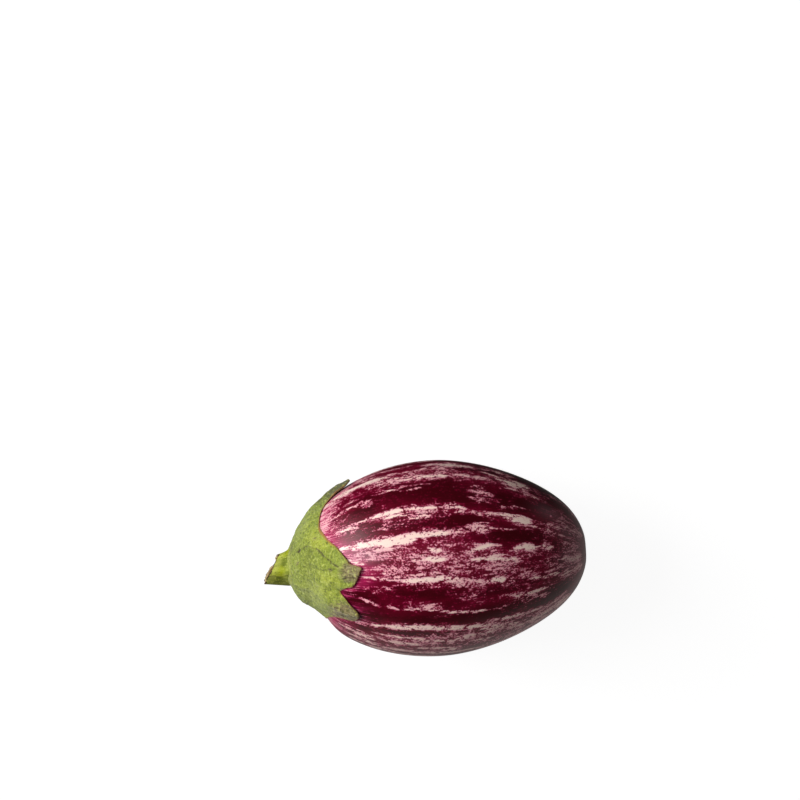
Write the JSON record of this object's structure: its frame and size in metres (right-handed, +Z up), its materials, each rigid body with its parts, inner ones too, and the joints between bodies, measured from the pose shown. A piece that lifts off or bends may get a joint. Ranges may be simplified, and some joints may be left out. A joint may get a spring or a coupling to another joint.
{
  "type": "striped eggplant",
  "caption": "Egg-shaped striped eggplant lying on its side, with a five-lobed green calyx and a short obliquely cut stem.",
  "frame": {"origin": "middle of the small flat spot that the fruit rests on, straight below its widest ring", "axes": "+X along the fruit's long axis, from the stem to the blossom end; +Y across; +Z up from the surface it lies on"},
  "size_m": [0.1167, 0.0702, 0.0675],
  "materials": {
    "fruit_skin": "smooth waxy skin, deep purple streaked lengthwise with cream",
    "calyx_skin": "matt green, finely downy, greyer towards the tips",
    "stem_skin": "satin yellow-green stalk with a dried brown cut"
  },
  "bodies": {
    "root": {"fruit": "fruit_skin", "calyx": "calyx_skin", "stem": "stem_skin"}
  },
  "joints": []
}
